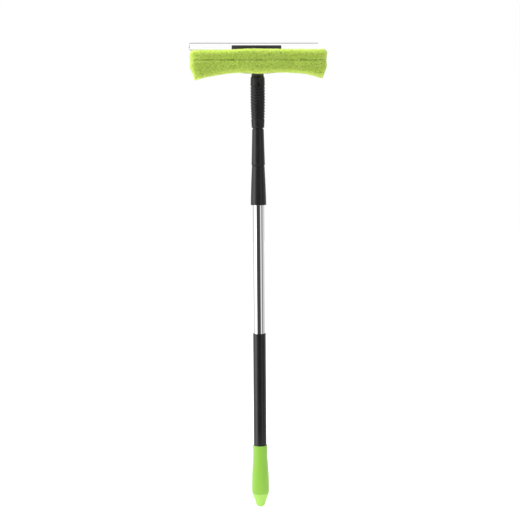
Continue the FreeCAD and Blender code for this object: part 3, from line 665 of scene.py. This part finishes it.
def make_sponge():
    """Foam block with softened corners, fine pores and a relief for the neck."""
    low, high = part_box("sponge_core")
    centre = (low + high) / 2
    size = high - low
    shape = bmesh.new()
    bmesh.ops.create_cube(shape, size=1.0)
    for vertex in shape.verts:
        vertex.co = Vector(vertex.co[axis] * size[axis] for axis in range(3)) + centre
    long_edges = [edge for edge in shape.edges if edge.calc_length() > 100 * MM]
    bmesh.ops.subdivide_edges(shape, edges=long_edges, cuts=60)
    other_edges = [edge for edge in shape.edges if edge.calc_length() > 10 * MM]
    bmesh.ops.subdivide_edges(shape, edges=other_edges, cuts=9, use_grid_fill=True)
    mesh = bpy.data.meshes.new("sponge_block")
    shape.to_mesh(mesh)
    shape.free()
    block = place_mesh("sponge_block", mesh, SLOT_FINISH["sponge"], smooth=False)
    softened = block.modifiers.new("corners", "BEVEL")
    softened.width = 2.5 * MM
    softened.segments = 3
    apply_modifiers(block)
    for vertex in block.data.vertices:
        inward = (centre - vertex.co).normalized()
        vertex.co += inward * 0.5 * MM * (1 + noise.noise(vertex.co * 400))
        near = math.hypot(vertex.co.x, vertex.co.y)
        if vertex.co.z < NECK_TOP and near < NECK_RADIUS:
            away = NECK_RADIUS / max(near, 1 * MM)
            vertex.co.x *= away
            vertex.co.y *= away
    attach(block, "head")
    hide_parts("sponge_core")


# ------------------------------------------------------------------ studio

# each light's name, place, width, height and power
SOFT_LIGHTS = (
    ("key", (-2.2, -1.2, 1.4), 1.5, 2.0, 38),
    ("fill", (-0.5, -2.4, 1.5), 1.4, 1.8, 14),
    ("top", (-0.1, -0.6, 2.6), 1.6, 1.2, 30),
)
LIGHTS_AIM = Vector((0, 0, 0.5))
# grey levels of the room from the side that the object faces to the side behind it
ROOM_LEVELS = ((0.0, 0.46), (0.12, 0.50), (0.40, 0.62), (0.62, 0.78), (0.85, 1.0))
FLOOR_HALF = 6.0

# the tent of glowing cards round the object
TENT_RADIUS = 0.35
BLADE_BAND = (0.885, 0.965)
TENT_TOP = 1.4
POLE_GLOW = 2.6
BLADE_GLOW = 1.12
HOOD_GLOW = 0.08
LID_GLOW = 0.2
# grey levels round the pole's cards, as shares of their glow, anticlockwise seen from above from -X
CARD_LEVELS = (
    (0.0, 1.0), (0.085, 1.0), (0.110, 0.18), (0.135, 0.027), (0.25, 0.019), (0.305, 0.027),
    (0.325, 0.23), (0.345, 0.37), (0.375, 0.37), (0.395, 0.10), (0.45, 0.085), (0.47, 0.23),
    (0.54, 0.27), (0.64, 0.31), (0.66, 0.10), (0.84, 0.10), (0.86, 0.34), (0.95, 0.33),
    (0.975, 0.37), (0.985, 1.0),
)
EVEN_LEVELS = ((0.0, 1.0), (1.0, 1.0))

CAMERA_DISTANCE = 2.5
CAMERA_HEIGHT = 0.7504
CAMERA_TILT = math.radians(5.865)
CAMERA_AZIMUTH = math.radians(-6.0)
CAMERA_ROLL = math.radians(0.41)
SENSOR = 36.0
LENS = 88.96
CAMERA_SHIFT = 0.0021


def soft_light(name, centre, width, height, power):
    """A rectangular soft box that faces the middle of the object."""
    light = bpy.data.lights.new(name, "AREA")
    light.shape = "RECTANGLE"
    light.size = width
    light.size_y = height
    light.energy = power
    lamp = bpy.data.objects.new(name, light)
    lamp.location = centre
    away = LIGHTS_AIM - Vector(centre)
    lamp.rotation_euler = away.to_track_quat("-Z", "Y").to_euler()
    bpy.context.scene.collection.objects.link(lamp)


def make_room():
    """A white room, darker on the side that the object faces, and its soft boxes."""
    world = bpy.data.worlds.new("room")
    world.use_nodes = True
    bpy.context.scene.world = world
    tree = world.node_tree
    coordinates = tree.nodes.new("ShaderNodeTexCoord")
    split = tree.nodes.new("ShaderNodeSeparateXYZ")
    tree.links.new(coordinates.outputs["Generated"], split.inputs["Vector"])
    facing = tree.nodes.new("ShaderNodeMapRange")
    facing.inputs["From Min"].default_value = -1.0
    tree.links.new(split.outputs["Y"], facing.inputs["Value"])
    ramp = tree.nodes.new("ShaderNodeValToRGB")
    fill_ramp(ramp, ROOM_LEVELS)
    tree.links.new(facing.outputs["Result"], ramp.inputs["Fac"])
    tree.links.new(ramp.outputs["Color"], tree.nodes["Background"].inputs["Color"])
    for settings in SOFT_LIGHTS:
        soft_light(*settings)


def card(name, corners, faces, glow, levels):
    """A glowing card that only the object's shiny parts see."""
    material = bpy.data.materials.new(name)
    material.use_nodes = True
    tree = material.node_tree
    tree.nodes.clear()
    coordinates = tree.nodes.new("ShaderNodeTexCoord")
    around = tree.nodes.new("ShaderNodeTexGradient")
    around.gradient_type = "RADIAL"
    tree.links.new(coordinates.outputs["Object"], around.inputs["Vector"])
    shades = tree.nodes.new("ShaderNodeValToRGB")
    fill_ramp(shades, levels)
    tree.links.new(around.outputs["Fac"], shades.inputs["Fac"])
    emission = tree.nodes.new("ShaderNodeEmission")
    emission.inputs["Strength"].default_value = glow
    tree.links.new(shades.outputs["Color"], emission.inputs["Color"])
    output = tree.nodes.new("ShaderNodeOutputMaterial")
    tree.links.new(emission.outputs["Emission"], output.inputs["Surface"])
    piece = new_piece(name, corners, faces, material, smooth=False)
    piece.visible_camera = False
    piece.visible_diffuse = False
    piece.visible_shadow = False
    piece.visible_transmission = False


def card_ring(name, bottom, top, glow, levels=EVEN_LEVELS):
    """A ring of card round the pole's axis."""
    count = 96
    corners = []
    for step in range(count):
        turn = 2 * math.pi * step / count
        for height in (bottom, top):
            corners.append((TENT_RADIUS * math.cos(turn), TENT_RADIUS * math.sin(turn), height))
    faces = [
        (2 * step, 2 * step + 1, (2 * step + 3) % (2 * count), (2 * step + 2) % (2 * count))
        for step in range(count)
    ]
    card(name, corners, faces, glow, levels)


def make_tent():
    """A soft box and dark gaps round the pole, a white band at the blade, a grey hood above."""
    band_bottom, band_top = BLADE_BAND
    card_ring("cards_pole", cad_bounds[0].z, band_bottom, POLE_GLOW, CARD_LEVELS)
    card_ring("cards_blade", band_bottom, band_top, BLADE_GLOW)
    card_ring("cards_hood", band_top, TENT_TOP, HOOD_GLOW)
    lid = [(TENT_RADIUS * x, TENT_RADIUS * y, TENT_TOP) for x, y in ((-1, -1), (1, -1), (1, 1), (-1, 1))]
    card("cards_lid", lid, [(0, 1, 2, 3)], LID_GLOW, EVEN_LEVELS)


def make_floor():
    """A large white floor just below the tip."""
    corners = [(FLOOR_HALF * x, FLOOR_HALF * y, cad_bounds[0].z)
               for x, y in ((-1, -1), (1, -1), (1, 1), (-1, 1))]
    floor = new_piece("floor", corners, [(0, 1, 2, 3)], glowing_floor("floor"), smooth=False)


def make_camera():
    """Long lens a little above the middle of the pole, from slightly to the left of the front."""
    camera = bpy.data.objects.new("camera", bpy.data.cameras.new("camera"))
    camera.data.sensor_width = SENSOR
    camera.data.lens = LENS
    camera.data.clip_end = 60
    camera.data.shift_x = CAMERA_SHIFT
    camera.location = (
        CAMERA_DISTANCE * math.sin(CAMERA_AZIMUTH),
        -CAMERA_DISTANCE * math.cos(CAMERA_AZIMUTH),
        cad_bounds[0].z + CAMERA_HEIGHT,
    )
    looking = Vector((
        -math.sin(CAMERA_AZIMUTH) * math.cos(CAMERA_TILT),
        math.cos(CAMERA_AZIMUTH) * math.cos(CAMERA_TILT),
        -math.sin(CAMERA_TILT),
    ))
    turn = looking.to_track_quat("-Z", "Y").to_matrix()
    camera.rotation_euler = (turn @ Matrix.Rotation(-CAMERA_ROLL, 3, "Z")).to_euler()
    bpy.context.scene.collection.objects.link(camera)
    bpy.context.scene.camera = camera


bpy.context.scene.view_settings.view_transform = "Standard"
make_camera()
dress_cad()
make_pile(make_sleeve())
make_binding()
make_sponge()
make_floor()
make_tent()
make_room()
